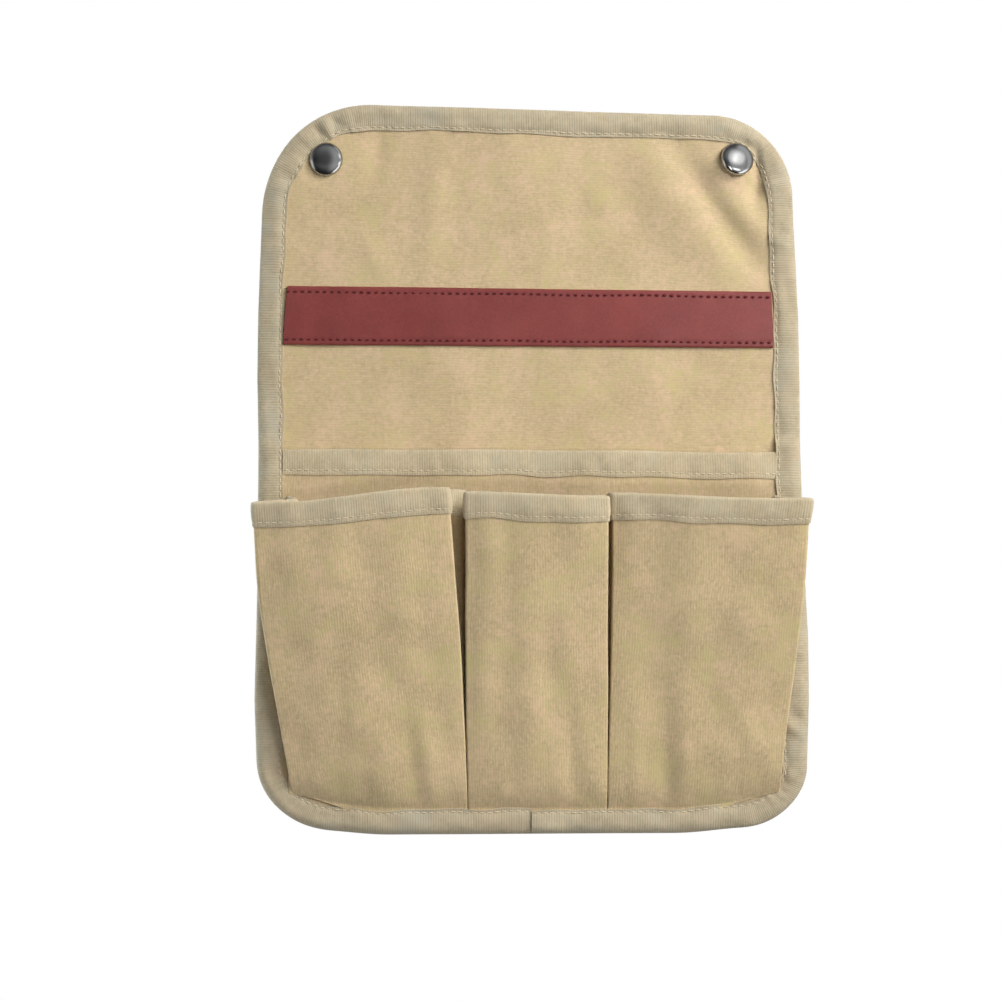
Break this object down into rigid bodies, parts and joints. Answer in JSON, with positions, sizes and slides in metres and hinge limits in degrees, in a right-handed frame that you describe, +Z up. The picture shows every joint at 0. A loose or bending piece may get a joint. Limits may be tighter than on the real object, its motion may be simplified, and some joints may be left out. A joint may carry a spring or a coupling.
{
  "type": "chair arm side bag",
  "caption": "Bound canvas side bag that folds over a chair arm and snaps behind it, with a leather fold band, a flat pocket and bellows pockets.",
  "frame": {"origin": "middle of the fold line, on the back face of the canvas", "axes": "+Z up as the bag hangs, -Y towards its front, +X to the right seen from the front"},
  "size_m": [0.241, 0.0338, 0.32],
  "materials": {
    "canvas": "tan cotton canvas, ribbed weave",
    "binding_tape": "grey beige ribbed tape",
    "leather_band": "dark red smooth leather",
    "snap_metal": "polished dark nickel"
  },
  "bodies": {
    "bag": {"back_panel": "canvas", "flat_pocket_panel": "canvas", "flat_pocket_binding": "binding_tape", "edge_binding_left": "binding_tape", "edge_binding_right": "binding_tape", "leather_band_lower": "leather_band", "snap_stud_left": "snap_metal", "snap_stud_right": "snap_metal", "stud_post_left": "snap_metal", "stud_post_right": "snap_metal", "left_pocket_left_gusset": "canvas", "left_pocket_left_gusset_binding": "binding_tape", "left_pocket_right_gusset": "canvas", "left_pocket_right_gusset_binding": "binding_tape", "middle_pocket_left_gusset": "canvas", "middle_pocket_left_gusset_binding": "binding_tape", "middle_pocket_right_gusset": "canvas", "middle_pocket_right_gusset_binding": "binding_tape", "right_pocket_left_gusset": "canvas", "right_pocket_left_gusset_binding": "binding_tape", "right_pocket_right_gusset": "canvas", "right_pocket_right_gusset_binding": "binding_tape"},
    "flap": {"flap_panel": "canvas", "flap_edge_binding": "binding_tape", "leather_band_upper": "leather_band", "snap_cap_left": "snap_metal", "snap_cap_right": "snap_metal", "snap_socket_left": "snap_metal", "snap_socket_right": "snap_metal", "snap_spring_left": "snap_metal", "snap_spring_right": "snap_metal"},
    "left_pocket": {"left_pocket_front": "canvas", "left_pocket_binding": "binding_tape"},
    "middle_pocket": {"middle_pocket_front": "canvas", "middle_pocket_binding": "binding_tape"},
    "right_pocket": {"right_pocket_front": "canvas", "right_pocket_binding": "binding_tape"}
  },
  "joints": [
    {"name": "flap_fold", "type": "hinge", "parent": "bag", "child": "flap", "pos_m": [0, 0.0023, 0], "axis": [-1, 0, 0], "range_deg": [0, 180]},
    {"name": "left_pocket_open", "type": "hinge", "parent": "bag", "child": "left_pocket", "pos_m": [0, -0.0051, -0.2157], "axis": [1, 0, 0], "range_deg": [-7, 2.4], "deforming": ["left_pocket_left_gusset", "left_pocket_left_gusset_binding", "left_pocket_right_gusset", "left_pocket_right_gusset_binding"]},
    {"name": "middle_pocket_open", "type": "hinge", "parent": "bag", "child": "middle_pocket", "pos_m": [0, -0.0051, -0.2157], "axis": [1, 0, 0], "range_deg": [-7, 2.4], "deforming": ["middle_pocket_left_gusset", "middle_pocket_left_gusset_binding", "middle_pocket_right_gusset", "middle_pocket_right_gusset_binding"]},
    {"name": "right_pocket_open", "type": "hinge", "parent": "bag", "child": "right_pocket", "pos_m": [0, -0.0051, -0.2157], "axis": [1, 0, 0], "range_deg": [-7, 2.4], "deforming": ["right_pocket_left_gusset", "right_pocket_left_gusset_binding", "right_pocket_right_gusset", "right_pocket_right_gusset_binding"]}
  ]
}
